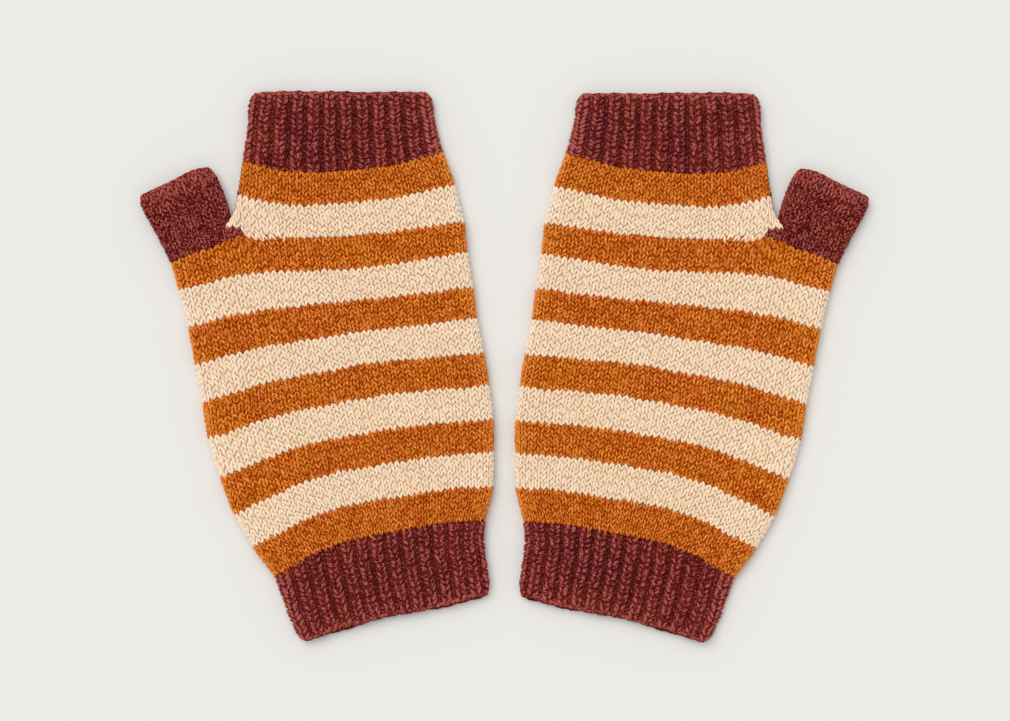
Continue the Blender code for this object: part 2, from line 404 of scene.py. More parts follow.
@cache
def yarn_group() -> bpy.types.NodeTree:
    """Build the look of spun wool: tone by stitch, patches, plies and fine fibres.

    Returns:
        A node group from a wool's colours to a Color and a Height, made once.
    """
    made = LookMaker("spun_wool")
    fibres = made.noise(Scale=1500.0, Detail=3.0, Roughness=0.7)
    round_yarn, along_yarn = made.map("Ply")
    turns = made.maths("ADD", made.maths("MULTIPLY", along_yarn, 0.6), round_yarn)
    twist = made.maths("SINE", made.maths("MULTIPLY", turns, 6.0 * math.pi))
    # the tone carries random tone along with painted highlights and painted shade laid on each bead
    tone = made.node("Attribute", attribute_name="tone").outputs["Fac"]
    fuzz = made.maths("MULTIPLY", made.maths("SUBTRACT", fibres, 0.5), made.inlet.outputs["Fuzz"])
    light = made.maths("ADD", made.maths("MULTIPLY", tone, 0.70), fuzz)
    made.shade(made.maths("ADD", light, made.maths("MULTIPLY", twist, 0.40)))
    height = made.maths("ADD", fibres, made.maths("MULTIPLY", twist, 0.30))
    made.link(height, made.outlet.inputs["Height"])
    return made.tree


@cache
def purl_group() -> bpy.types.NodeTree:
    """Build the look of the cloth's purl side: low bars, one to a stitch, and painted shade.

    Returns:
        A node group from a wool's colours to a Color and a Height, made once.
    """
    made = LookMaker("purl_side")
    column, course = made.map("Chart")
    arch = made.maths("SINE", made.maths("MULTIPLY", column, 2.0 * math.pi))
    lifted = made.maths("ADD", made.maths("MULTIPLY", arch, 0.25), course)
    bars = made.maths("SINE", made.maths("MULTIPLY", lifted, 2.0 * math.pi))
    # the fibres are centred a little low: painted shade where the cloth shows between the stitches
    fibres = made.maths("SUBTRACT", made.noise(Scale=1800.0, Detail=3.0), 0.65)
    light = made.maths("ADD", made.maths("MULTIPLY", bars, 0.35), fibres)
    made.shade(light)
    made.link(light, made.outlet.inputs["Height"])
    return made.tree


# ---- the lie of the cloth ----
@dataclass(frozen=True)
class Crease:
    """A soft ridge, or a trough where its height is below 0, in the cloth as it lies."""

    x_mm: float
    y_mm: float
    turn_deg: float
    length_mm: float
    width_mm: float
    height_mm: float

    def lift(self, x: np.ndarray, y: np.ndarray) -> np.ndarray:
        """Tell how far the crease lifts the cloth's upper layer.

        Args:
            x: Places across the pair, in millimetres.
            y: Places along it.

        Returns:
            The lift at each place, in millimetres.
        """
        turn = math.radians(self.turn_deg)
        along = (x - self.x_mm) * math.cos(turn) + (y - self.y_mm) * math.sin(turn)
        beside = (y - self.y_mm) * math.cos(turn) - (x - self.x_mm) * math.sin(turn)
        reach = (2 * along / self.length_mm) ** 2 + (2 * beside / self.width_mm) ** 2
        return self.height_mm * np.exp(-CREASE_FADE * reach)


#            x_mm   y_mm  turn  length width height
CREASES = (
    Crease(-57.0,  -53.0, 108.0,  18.0,  5.5,  0.65),
    Crease(-52.0,  -52.0, 105.0,  18.0,  5.5, -0.60),
    Crease(-43.5,  -51.0, 100.0,  20.0,  5.5,  0.70),
    Crease(-38.0,  -50.0,  98.0,  18.0,  5.5, -0.50),
    Crease(-30.5,  -47.0,  92.0,  18.0,  5.5,  0.55),
    Crease(-67.0,  -56.0, 112.0,  18.0,  8.0, -0.50),
    Crease(-20.0,  -46.0,  88.0,  20.0,  9.0, -0.45),
    Crease(-74.0,  -36.0,  28.0,  20.0,  9.0,  0.45),
    Crease(-59.0,  -30.0, 100.0,  18.0,  9.0, -0.45),
    Crease(-27.0,  -24.0,  12.0,  34.0,  8.0, -0.40),
    Crease(-50.0,   30.0,  12.0,  60.0, 16.0,  0.45),
    Crease(-66.0,   -5.0,  18.0,  26.0,  9.0, -0.45),
    Crease(-25.0,   20.0,  15.0,  26.0, 10.0, -0.55),
    Crease(-92.0,   44.0, 140.0,  22.0,  8.0,  0.45),
    Crease(-86.0,   41.0, 150.0,  24.0,  8.0, -0.35),
    Crease(-75.0,   72.5,  -6.0,  26.0,  4.0, -0.60),
)


@dataclass(frozen=True)
class Tug:
    """A place where the cloth is drawn towards the fingers."""

    x_mm: float
    y_mm: float
    across_mm: float
    along_mm: float
    pull_mm: float

    def pull(self, x: np.ndarray, y: np.ndarray) -> np.ndarray:
        """Tell how far the cloth is drawn at each place, in millimetres."""
        reach = ((x - self.x_mm) / self.across_mm) ** 2 + ((y - self.y_mm) / self.along_mm) ** 2
        return self.pull_mm * np.exp(-reach)


CROTCH_TUG = Tug(x_mm=-94.3, y_mm=46.0, across_mm=5.0, along_mm=3.6, pull_mm=2.0)


def read_curve(knots: np.ndarray, values: np.ndarray, at: np.ndarray) -> np.ndarray:
    """Read a smooth cubic curve through its knots.

    Args:
        knots: Where the knots are.
        values: The value at each knot, the same for all places or one column for each.
        at: The places to read the curve at.

    Returns:
        The curve's value at each place.
    """
    first = np.clip(np.searchsorted(knots, at, side="right") - 1, 0, len(knots) - 2)
    gap = knots[first + 1] - knots[first]
    step = (at - knots[first]) / gap
    tables = [np.broadcast_to(table.reshape(len(knots), -1), (len(knots), len(at)))
              for table in (values, np.gradient(values, knots, axis=0))]
    low, leaving, high, arriving = (table[first + after, np.arange(len(at))]
                                    for after in (0, 1) for table in tables)
    start, end = leaving * gap, arriving * gap
    bend = 3 * (high - low) - 2 * start - end
    twist = 2 * (low - high) + start + end
    return low + step * (start + step * (bend + step * twist))


@dataclass(frozen=True)
class Lap:
    """Extra stitches at the left side of a tube's first courses, which lap over its neighbour."""

    columns: int
    full_courses: float
    last_course: float
    lift_mm: float
    reach_mm: float

    def share(self, courses: np.ndarray) -> np.ndarray:
        """Tell how much of the extra stitches' width is left at each course, from 1 to 0."""
        fading = np.clip((courses - self.full_courses) / (self.last_course - self.full_courses), 0, 1)
        return 1 - fading * fading * (3 - 2 * fading)

    def gather(self, columns: np.ndarray, around: int, courses: np.ndarray) -> np.ndarray:
        """Let the extra columns end at the fold one by one, and spread the rest evenly.

        Args:
            columns: Columns from the left fold's middle.
            around: How many columns the tube has, with the extra ones.
            courses: Courses from the tube's wrist end.

        Returns:
            The columns as they lie.
        """
        half = around / 2
        signed = np.mod(columns + half, around) - half
        gone = self.columns * (1 - self.share(courses))
        extra = np.maximum(np.minimum(np.abs(signed), self.columns) - gone, 0)
        rest = np.maximum(np.abs(signed) - self.columns, 0)
        whole = half - self.columns + self.columns * self.share(courses)
        return np.sign(signed) * (extra + rest) * half / whole

    def lift(self, from_left_mm: np.ndarray, courses: np.ndarray) -> np.ndarray:
        """Tell how far each place is lifted, in millimetres, which fades away from the left side."""
        return self.lift_mm * self.share(courses) * np.exp(-(from_left_mm / self.reach_mm) ** 2)


@dataclass(frozen=True)
class Ribbing:
    """How a tube's ribs stand out, and how far they show at its wrist and finger ends."""

    rise_mm: float
    furrow_mm: float
    first_furrow: float
    furrow_share: float
    wrist_strength: float
    finger_strength: float

    def warp(self, columns: np.ndarray) -> np.ndarray:
        """Make a rib's purl column narrow and its knit one wide.

        Args:
            columns: Columns as they are charted.

        Returns:
            Columns as they lie.
        """
        repeat = np.floor(columns / 2)
        within = columns - 2 * repeat
        edge = self.furrow_share / 2
        shares = np.interp(within, (0.0, 0.5, 1.5, 2.0), (0.0, edge, 1 - edge, 1.0))
        return 2 * (repeat + shares) + self.first_furrow

    def ridge(self, columns: np.ndarray) -> np.ndarray:
        """Tell how near each column is to the middle of a ridge, from 0 to 1."""
        return 0.5 - 0.5 * np.cos(np.pi * (columns - self.first_furrow))

    def relief(self, columns: np.ndarray, around: int, along: np.ndarray) -> np.ndarray:
        """Tell how far the ribs stand out at each place, and the furrows lie in.

        Args:
            columns: Columns, after the warp.
            around: How many columns the tube has.
            along: How far along the tube, from 0 at its wrist end to 1.

        Returns:
            Heights in millimetres.
        """
        middle = around / 4
        from_middle = np.abs(columns - middle) / middle
        strength = np.interp(from_middle, *STRENGTH_ASIDE)
        ends = (self.wrist_strength, 1.0, 1.0, self.finger_strength)
        strength = strength * np.interp(along, STRENGTH_STEPS, ends)
        full = self.rise_mm + self.furrow_mm
        height = full * self.ridge(columns) ** RIDGE_POWER - self.furrow_mm
        return strength * height + (1 - strength) * FAINT_RIB_MM


@dataclass(frozen=True)
class TubeForm:
    """How one flattened tube lies: where each column and course of its knitting is."""

    rows: tuple[Row, ...]
    row_courses: tuple[float, ...]
    columns: int
    height_mm: float
    ribbing: Optional[Ribbing] = None
    lap: Optional[Lap] = None
    wrist_corner_mm: float = 0.0
    finger_corner_mm: float = 0.0
    scallop_mm: float = 0.0
    sway_seed: float = 0.0
    tone: float = 0.0
    # a painted highlight at the folds, standing for the sheen of the wool's fuzz there
    painted_fold_sheen: float = 0.9
    rim_tone: float = 0.0

    @property
    def courses(self) -> float:
        """Count the courses from end to end."""
        return self.row_courses[-1]

    def sway(self, columns: np.ndarray, courses: np.ndarray) -> tuple[np.ndarray, np.ndarray]:
        """Tell how far hand-knitted stitches stray from an even chart.

        Args:
            columns: Columns from the left fold's middle.
            courses: Courses from the tube's wrist end.

        Returns:
            How far they stray aside and ahead, in stitches.
        """
        phase = self.sway_seed
        aside, ahead = (sum(size * np.sin(by_course * courses + by_column * columns + turn * phase)
                            for size, by_course, by_column, turn in waves)
                        for waves in (ASIDE_WAVES, AHEAD_WAVES))
        return aside, ahead

    def tone_with_painted_sheen(self, columns: np.ndarray, courses: np.ndarray) -> np.ndarray:
        """Tell how much lighter the wool is: a painted sheen at the folds, and lighter wool at a ribbed
        rim.

        Args:
            columns: Columns from the left fold's middle.
            courses: Courses from the tube's wrist end.

        Returns:
            What to add to the tone at each place.
        """
        half = self.columns / 2
        from_fold = np.abs(np.mod(columns + half / 2, half) - half / 2)
        from_rim = courses if self.wrist_corner_mm else self.courses - courses
        # a painted highlight at the folds, and a lighter band at the rim
        painted_sheen_at_fold = self.painted_fold_sheen * np.exp(-(from_fold / FOLD_COLUMNS) ** 2)
        at_rim = self.rim_tone * np.exp(-(from_rim / RIM_COURSES) ** 2)
        return self.tone + np.maximum(painted_sheen_at_fold, at_rim)

    def row_fields(self, courses: np.ndarray) -> np.ndarray:
        """Read the table of rows smoothly at each course, and give the seven fields of a row."""
        knots = np.array(self.row_courses, float)
        return np.stack([read_curve(knots, field, courses) for field in np.array(self.rows).T], axis=1)

    def section(self, columns: np.ndarray, width: np.ndarray) -> tuple[np.ndarray, np.ndarray]:
        """Find places on the tube's cross-section, whose ends are round.

        Args:
            columns: Columns from the left fold's middle, going right over the top.
            width: The tube's width at each place.

        Returns:
            How far the round's centre lies from the left side, and the turn outwards.
        """
        radius = self.height_mm / 2
        flat = width - self.height_mm
        fold = math.pi * radius
        distance = np.mod(columns / self.columns, 1.0) * (2 * flat + 2 * fold)
        ends = (fold / 2, fold / 2 + flat, 1.5 * fold + flat, 1.5 * fold + 2 * flat)
        side = sum((distance >= end).astype(int) for end in ends)
        across = (0 * flat, distance - ends[0], flat, flat - (distance - ends[2]), 0 * flat)
        quarter = np.full_like(flat, math.pi / 2)
        turns = (math.pi - distance / radius, quarter, quarter - (distance - ends[1]) / radius,
                 -quarter, -quarter - (distance - ends[3]) / radius)
        return radius + np.choose(side, across), np.choose(side, turns)

    def rounded(self, columns: np.ndarray, courses: np.ndarray, from_side: np.ndarray) -> np.ndarray:
        """Draw the ends of the tube in at its corners, and scallop a ribbed rim.

        Args:
            columns: Columns, after the warp.
            courses: Courses from the tube's wrist end.
            from_side: Distances from the nearer side, in millimetres.

        Returns:
            The courses as they lie.
        """
        half = self.columns / 2
        over = np.abs(np.mod(columns + half, self.columns) - half)
        ends = ((self.wrist_corner_mm, 0.0, 1), (self.finger_corner_mm, self.courses, -1))
        for corner, end, inwards in ends:
            if corner:
                inset = np.clip(corner - from_side, 0, corner)
                drop = corner - np.sqrt(corner ** 2 - inset ** 2)
                if self.ribbing:
                    drop = drop + self.scallop_mm * (0.5 - self.ribbing.ridge(over))
                reach = 2 * corner / COURSE_MM
                fading = np.clip(1 - inwards * (courses - end) / reach, 0, 1.2)
                courses = courses + inwards * drop / COURSE_MM * fading
        return courses

    def place(self, columns: np.ndarray, courses: np.ndarray, heights: np.ndarray) -> np.ndarray:
        """Turn places in the knitting into places in the room.

        Args:
            columns: Columns from the left fold's middle, going right over the top.
            courses: Courses from the tube's wrist end.
            heights: Millimetres out of the cloth's shell.

        Returns:
            An array of x, y and z in millimetres.
        """
        if self.ribbing:
            columns = self.ribbing.warp(columns)
        if self.lap:
            columns = self.lap.gather(columns, self.columns, courses)
        fields = self.row_fields(courses)
        width = np.hypot(fields[:, 2] - fields[:, 0], fields[:, 3] - fields[:, 1])
        centre, turn = self.section(columns, width)
        radius = self.height_mm / 2
        reach = radius - YARN_RISE_MM + heights
        if self.ribbing:
            relief = self.ribbing.relief(columns, self.columns, courses / self.courses)
            reach = reach + relief * np.clip(1 + np.sin(turn), 0, 1)
        share = (centre + reach * np.cos(turn)) / width
        from_side = np.minimum(share, 1 - share) * width
        fields = self.row_fields(self.rounded(columns, courses, from_side))
        x = fields[:, 0] + share * (fields[:, 2] - fields[:, 0])
        y = fields[:, 1] + share * (fields[:, 3] - fields[:, 1]) - dip_at(fields[:, 4:7], share)
        y = y + CROTCH_TUG.pull(x, y)
        lift = sum(crease.lift(x, y) for crease in CREASES)
        if self.lap:
            lift = lift + self.lap.lift(share * width, courses)
        up = radius + reach * np.sin(turn) + lift * np.clip(np.sin(turn) + 0.5, 0, 1)
        return np.stack([x, y + PAIR_SHIFT_MM, np.maximum(up, 0.0)], axis=1)


def dip_at(dips: np.ndarray, share: np.ndarray) -> np.ndarray:
    """Read how far a row dips at a share of the way across it.

    Args:
        dips: The three dips of each place's row.
        share: How far across the row each place is.

    Returns:
        The dip at each place, in millimetres.
    """
    values = np.zeros((5, len(share)))
    values[1:4] = dips.T
    return read_curve(np.linspace(0, 1, 5), values, np.clip(share, 0, 1))


def stretch_of_row(row: Row, start: float, end: float) -> Row:
    """Give a stretch of a row as a row of its own.

    Args:
        row: The whole row.
        start: Where the stretch starts, as a share of the row.
        end: Where it ends.

    Returns:
        The stretch, with dips of its own.
    """
    places = start + (end - start) * np.linspace(0, 1, 5)
    x = row.left_x + places * (row.right_x - row.left_x)
    y = row.left_y + places * (row.right_y - row.left_y)
    y = y - dip_at(np.tile(row[4:7], (5, 1)), places)
    dips = np.linspace(y[0], y[4], 5) - y
    return Row(x[0], y[0], x[4], y[4], *dips[1:4])


# ---- stitches ----
@dataclass(frozen=True)
class BeadShape:
    """The size, lean, tone and spots of the stretches of yarn that show in a stitch.

    A stretch lies at each spot, a column and a course from the stitch's left wrist
    corner, and the second one leans the other way. The tuck is how far its ends
    lie below its middle, and the stray how uneven it is.
    """

    spots: tuple[tuple[float, float], ...]
    length_mm: float
    width_mm: float
    thick_mm: float
    lean_deg: float
    height_mm: float
    tuck_mm: float
    tone: float = 0.0
    stray: float = 1.0


LEG = BeadShape(((0.25, 0.5), (0.75, 0.5)), length_mm=3.25, width_mm=1.15, thick_mm=1.35,
                lean_deg=26.0, height_mm=0.45, tuck_mm=0.50)
RIB_LEG = BeadShape(((0.20, 0.5), (0.80, 0.5)), length_mm=2.70, width_mm=1.10, thick_mm=1.20,
                    lean_deg=25.0, height_mm=0.42, tuck_mm=0.35, tone=-0.02, stray=1.2)
# the bars' low tone is painted shade that darkens the ribs' furrows
BAR = BeadShape(((0.5, 0.25), (0.5, 0.75)), length_mm=2.2, width_mm=0.90, thick_mm=0.90,
                lean_deg=60.0, height_mm=0.10, tuck_mm=0.30, tone=-0.85, stray=1.4)
RIM = BeadShape(((0.5, 0.0),), length_mm=6.0, width_mm=1.80, thick_mm=2.20,
                lean_deg=90.0, height_mm=-0.55, tuck_mm=0.0, tone=-0.7, stray=0.0)

# how uneven a stretch of yarn with a stray of 1 is
SIZE_STRAY = 0.07       # as a share of its size
LEAN_STRAY_DEG = 5.0
HEIGHT_STRAY_MM = 0.06
ASIDE_STRAY = 0.035     # in columns
AHEAD_STRAY = 0.13      # in courses
TONE_STRAY = 0.08
BASE_TONE_STRAY = 0.22  # how uneven the tone is whatever the stray
BASE_TONE = 0.20
CREST_HIGHLIGHT = 1.3        # painted highlight and shade: how much lighter the yarn is on its crest, darker on its flanks
END_SHADE = 0.9          # and painted shade: how much darker at its ends
PLY_STEP = 0.37         # how far the plies are turned from one stretch to the next
CELL_MARGIN = 0.06      # round each stretch in the bake's map, as a share of its cell
FINE_COLUMNS = 2.5      # how far round the folds the stitches of the upper layer are used


@dataclass
class Beads:
    """Many stretches of yarn of one shape, by column and course, as arrays."""

    shape: BeadShape
    columns: np.ndarray
    courses: np.ndarray
    leans: np.ndarray

    def only(self, keep: np.ndarray) -> "Beads":
        """Keep some of the beads."""
        return Beads(self.shape, self.columns[keep], self.courses[keep], self.leans[keep])


def chart_beads(shape: BeadShape, columns: np.ndarray, courses: np.ndarray) -> Beads:
    """Chart a stitch's beads for many stitches.

    Args:
        shape: The beads' shape.
        columns: The left side of each stitch.
        courses: The wrist end of each stitch.

    Returns:
        All the beads, first those at each stitch's first spot.
    """
    leans = (shape.lean_deg, -shape.lean_deg)[:len(shape.spots)]
    return Beads(shape, np.concatenate([columns + aside for aside, _ in shape.spots]),
                 np.concatenate([courses + ahead for _, ahead in shape.spots]),
                 np.repeat(leans, len(columns)))


class BeadMesh:
    """One bead of yarn, a long ball whose poles are its two ends."""

    def __init__(self, sides: int, rings: int) -> None:
        """Model the bead.

        Args:
            sides: Sides round the yarn.
            rings: Steps from one end to the other.
        """
        model = bmesh.new()
        model.loops.layers.uv.new("Ply")
        turned = Matrix.Rotation(math.pi / 2, 4, "X") @ Matrix.Rotation(math.pi / 2, 4, "Z")
        bmesh.ops.create_uvsphere(model, u_segments=sides, v_segments=rings, radius=1.0,
                                  matrix=turned, calc_uvs=True)
        bmesh.ops.recalc_face_normals(model, faces=model.faces)
        mesh = mesh_of(model, "bead")
        self.points = np.array([vertex.co for vertex in mesh.vertices])
        self.corners = np.array([loop.vertex_index for loop in mesh.loops])
        self.starts = np.array([face.loop_start for face in mesh.polygons])
        self.ply = np.array([corner.uv for corner in mesh.uv_layers["Ply"].data])
        bpy.data.meshes.remove(mesh)


def lay_beads(form: TubeForm, beads: Beads, bead: BeadMesh, seed: int) -> tuple[np.ndarray, np.ndarray]:
    """Lay beads on a tube, each a little uneven, as hand-knitted stitches are.

    Args:
        form: The tube.
        beads: Where the beads are, and their shape.
        bead: One bead's mesh.
        seed: Makes the unevenness the same each run.

    Returns:
        The points of all the beads, in metres, and each point's tone, which has a painted
            highlight on the yarn's crest and painted shade at its flanks and ends.
    """
    chance = np.random.default_rng(seed)
    count = len(beads.columns)
    shape = beads.shape
    stray = shape.stray
    size = chance.normal(1.0, SIZE_STRAY * stray, (count, 1, 3))
    half = np.array([shape.width_mm, shape.length_mm, shape.thick_mm]) / 2
    local = bead.points[None] * half * size
    lean = (np.radians(beads.leans + chance.normal(0, LEAN_STRAY_DEG * stray, count)))[:, None]
    across = local[..., 0] * np.cos(lean) - local[..., 1] * np.sin(lean)
    along = local[..., 0] * np.sin(lean) + local[..., 1] * np.cos(lean)
    near_end = bead.points[None, :, 1] ** 2
    lift = chance.normal(0, HEIGHT_STRAY_MM * stray, (count, 1))
    heights = local[..., 2] + shape.height_mm - shape.tuck_mm * near_end + lift
    aside = chance.normal(0, ASIDE_STRAY * stray, (count, 1)) + across / WALE_MM
    ahead = chance.normal(0, AHEAD_STRAY * stray, (count, 1)) + along / COURSE_MM
    columns = beads.columns[:, None] + aside
    courses = beads.courses[:, None] + ahead
    sway_aside, sway_ahead = form.sway(columns, courses)
    points = form.place((columns + sway_aside).ravel(), (courses + sway_ahead).ravel(), heights.ravel())
    tones = chance.normal(shape.tone, BASE_TONE_STRAY + TONE_STRAY * stray, (count, 1)) + BASE_TONE
    # a painted highlight on each bead's crest, and painted shade on its flanks and at its tucked ends
    tones = tones + CREST_HIGHLIGHT * (bead.points[None, :, 2] - 0.5) - END_SHADE * near_end
    tones = tones + form.tone_with_painted_sheen(columns, courses)
    return points * MM, tones.ravel()


def joined_beads(name: str, form: TubeForm, batches: Sequence[tuple[Beads, BeadMesh]],
                 seed: int) -> bpy.types.Mesh:
    """Join many beads into one mesh.

    Args:
        name: The mesh's name.
        form: The tube that they lie on.
        batches: Pairs of beads and the bead mesh that each is made with.
        seed: Makes the unevenness the same each run.

    Returns:
        The mesh, with a tone for each bead and a cell of its own in the bake's map.
    """
    points, corners, starts, tones, ply, cells = [], [], [], [], [], []
    total = sum(len(beads.columns) for beads, _ in batches)
    side = math.ceil(math.sqrt(total))
    point_count = corner_count = bead_count = 0
    for batch, (beads, bead) in enumerate(batches):
        count = len(beads.columns)
        laid, tone = lay_beads(form, beads, bead, seed + batch)
        points.append(laid)
        tones.append(tone)
        order = np.arange(count)[:, None]
        corners.append((bead.corners[None] + order * len(bead.points) + point_count).ravel())
        starts.append((bead.starts[None] + order * len(bead.corners) + corner_count).ravel())
        number = np.arange(bead_count, bead_count + count)
        turned = np.stack([PLY_STEP * number, 0 * number], axis=1)[:, None]
        ply.append((bead.ply[None] + np.mod(turned, 1.0)).reshape(-1, 2))
        cell = np.stack([number % side, number // side], axis=1)[:, None]
        inside = CELL_MARGIN + (1 - 2 * CELL_MARGIN) * bead.ply[None]
        cells.append(((cell + inside) / side).reshape(-1, 2))
        point_count += len(laid)
        corner_count += count * len(bead.corners)
        bead_count += count
    mesh = bpy.data.meshes.new(name)
    mesh.vertices.add(point_count)
    mesh.vertices.foreach_set("co", np.concatenate(points).astype(np.float32).ravel())
    mesh.loops.add(corner_count)
    mesh.loops.foreach_set("vertex_index", np.concatenate(corners).astype(np.int32))
    all_starts = np.concatenate(starts).astype(np.int32)
    mesh.polygons.add(len(all_starts))
    mesh.polygons.foreach_set("loop_start", all_starts)
    mesh.polygons.foreach_set("use_smooth", np.ones(len(all_starts), bool))
    mesh.update(calc_edges=True)
    for layer, values in (("Ply", ply), ("OFBake", cells)):
        uv = mesh.uv_layers.new(name=layer)
        uv.data.foreach_set("uv", np.concatenate(values).astype(np.float32).ravel())
    attribute = mesh.attributes.new("tone", "FLOAT", "POINT")
    attribute.data.foreach_set("value", np.concatenate(tones).astype(np.float32))
    return mesh


# ---- pieces ----
def finish_piece(mesh: bpy.types.Mesh) -> bpy.types.Object:
    """Put a mesh in the scene as a piece that rides with the pair.

    Args:
        mesh: The mesh, whose name is the piece's.

    Returns:
        The piece.
    """
    piece = put_in_scene(mesh)
    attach(piece, BODY)
    LOG.info("%s: %d faces", piece.name, len(mesh.polygons))
    return piece


def for_side(mesh: bpy.types.Mesh, side: Side) -> bpy.types.Mesh:
    """Set a left warmer's mesh where it lies, or mirror it for the right warmer.

    Args:
        mesh: A mesh of the left warmer.
        side: The warmer that it is for.

    Returns:
        The mesh itself for the left warmer, or a mirrored copy for the right one.
    """
    if side is Side.LEFT:
        return mesh
    mirrored = mesh.copy()
    mirrored.name = mesh.name.replace("left", "right")
    mirrored.transform(Matrix.Translation((0, -RIGHT_DROP_MM * MM, 0)) @ Matrix.Scale(-1, 4, (1, 0, 0)))
    mirrored.flip_normals()
    return mirrored


@dataclass(frozen=True)
class PickUp:
    """A few stitches of another wool at the left side of a tube's first courses."""

    wool: Wool
    columns: float
    courses: float


@dataclass
class KnittedTube:
    """One knitted tube of a warmer: its shell of cloth and its stitches."""

    node: str
    form: TubeForm
    stripes: tuple[Wool, ...]
    seed: int
    rim_at: Optional[float] = None
    pick_up: Optional[PickUp] = None

    def wools(self) -> list[Wool]:
        """List the tube's wools, each once."""
        extra = [self.pick_up.wool] if self.pick_up else []
        return list(dict.fromkeys([*self.stripes, *extra]))

    def wool_numbers(self, columns: np.ndarray, courses: np.ndarray) -> np.ndarray:
        """Tell which of the tube's wools each place is knitted in.

        Args:
            columns: Columns from the left fold's middle.
            courses: Courses from the tube's wrist end.

        Returns:
            Each place's number in the list of wools.
        """
        wools = self.wools()
        stripe = np.floor(courses * len(self.stripes) / self.form.courses).astype(int)
        stripe = np.clip(stripe, 0, len(self.stripes) - 1)
        numbers = np.array([wools.index(wool) for wool in self.stripes])[stripe]
        if self.pick_up:
            around = self.form.columns
            aside = np.minimum(np.mod(columns, around), np.mod(-columns, around))
            picked = (aside < self.pick_up.columns) & (courses < self.pick_up.courses)
            numbers[picked] = wools.index(self.pick_up.wool)
        return numbers

    def stitches(self) -> list[Beads]:
        """Chart every stitch of the tube.

        Returns:
            The plain stitches' legs, the purl bars if the tube is ribbed, and the strand
            along its rim if it ends in one.
        """
        around = np.arange(self.form.columns, dtype=float)
        columns, courses = np.meshgrid(around, np.arange(round(self.form.courses), dtype=float))
        columns, courses = columns.ravel(), courses.ravel()
        charted = [chart_beads(LEG, columns, courses)]
        if self.form.ribbing:
            purl = columns % 2 == 0
            columns = columns - 0.5
            charted = [chart_beads(RIB_LEG, columns[~purl], courses[~purl]),
                       chart_beads(BAR, columns[purl], courses[purl])]
        if self.rim_at is not None:
            charted.append(chart_beads(RIM, around, np.full(len(around), self.rim_at)))
        return charted

    def is_underneath(self, beads: Beads) -> np.ndarray:
        """Tell which beads lie on the tube's hidden underside.

        Args:
            beads: The beads.

        Returns:
            Whether each bead does.
        """
        around = self.form.columns
        columns = np.mod(beads.columns, around)
        return (columns > around / 2 + FINE_COLUMNS) & (columns < around - FINE_COLUMNS)

    def yarn_meshes(self, fine: BeadMesh, plain: BeadMesh) -> list[tuple[bpy.types.Mesh, str]]:
        """Make the tube's stitches, one mesh for each wool.

        Args:
            fine: The bead for what shows.
            plain: The bead for the hidden underside.

        Returns:
            Pairs of a mesh and its material slot.
        """
        meshes = []
        for number, wool in enumerate(self.wools()):
            batches = []
            for beads in self.stitches():
                mine = self.wool_numbers(beads.columns, beads.courses) == number
                under = self.is_underneath(beads) & (beads.shape is not RIM)
                batches += [(beads.only(mine & ~under), fine), (beads.only(mine & under), plain)]
            batches = [(beads, bead) for beads, bead in batches if len(beads.columns)]
            name = f"left_{self.node}_{wool.name}_stitches"
            mesh = joined_beads(name, self.form, batches, self.seed)
            mesh.materials.append(wool.yarn())
            meshes.append((mesh, wool.slot))
        return meshes

    def shell_mesh(self) -> bpy.types.Mesh:
        """Make the thin shell of cloth that lies behind the stitches.

        Returns:
            A closed wall round the tube, open at both ends, with a chart for its pattern.
        """
        form = self.form
        model = bmesh.new()
        chart = model.loops.layers.uv.new("Chart")
        bmesh.ops.create_grid(model, x_segments=form.columns, y_segments=round(form.courses), size=0.5,
                              matrix=Matrix.Translation((0.5, 0.5, 0)))
        size = Vector((form.columns, form.courses, 0))
        for face in model.faces:
            middle = face.calc_center_median() * size
            face.material_index = int(self.wool_numbers(np.array([middle.x]), np.array([middle.y]))[0])
            face.smooth = True
            for loop in face.loops:
                loop[chart].uv = (loop.vert.co * size).xy
        flat = np.array([vertex.co * size for vertex in model.verts])
        for vertex, point in zip(model.verts, form.place(flat[:, 0], flat[:, 1], 0 * flat[:, 2])):
            vertex.co = Vector(point) * MM
        bmesh.ops.remove_doubles(model, verts=model.verts, dist=1e-6)
        bmesh.ops.recalc_face_normals(model, faces=model.faces)
        if outward_share(model) < 0.5:
            bmesh.ops.reverse_faces(model, faces=model.faces)
        bmesh.ops.solidify(model, geom=model.faces[:], thickness=SHELL_MM * MM)
        mesh = mesh_of(model, f"left_{self.node}_cloth")
        for wool in self.wools():
            mesh.materials.append(wool.cloth())
        return mesh

    def build(self, fine: BeadMesh, plain: BeadMesh, floor: bpy.types.Object) -> None:
        """Build the tube's pieces for both warmers, and hide the parts that they replace.

        Args:
            fine: The bead for what shows.
            plain: The bead for the hidden underside.
            floor: What the warmers lie on; not used.
        """
        yarns = self.yarn_meshes(fine, plain)
        shell = self.shell_mesh()
        for side in Side:
            stitches = [finish_piece(for_side(mesh, side)) for mesh, slot in yarns]
            cloth = finish_piece(for_side(shell, side))
            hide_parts(f"{side.name.lower()}_{self.node}")


def outward_share(model: bmesh.types.BMesh) -> float:
    """Tell how much of a tube points away from its middle height.

    Args:
        model: The tube.

    Returns:
        The share of its faces that do.
    """
    middle = sum(vertex.co.z for vertex in model.verts) / len(model.verts)
    outward = sum((face.calc_center_median().z - middle) * face.normal.z > 0 for face in model.faces)
    return outward / len(model.faces)


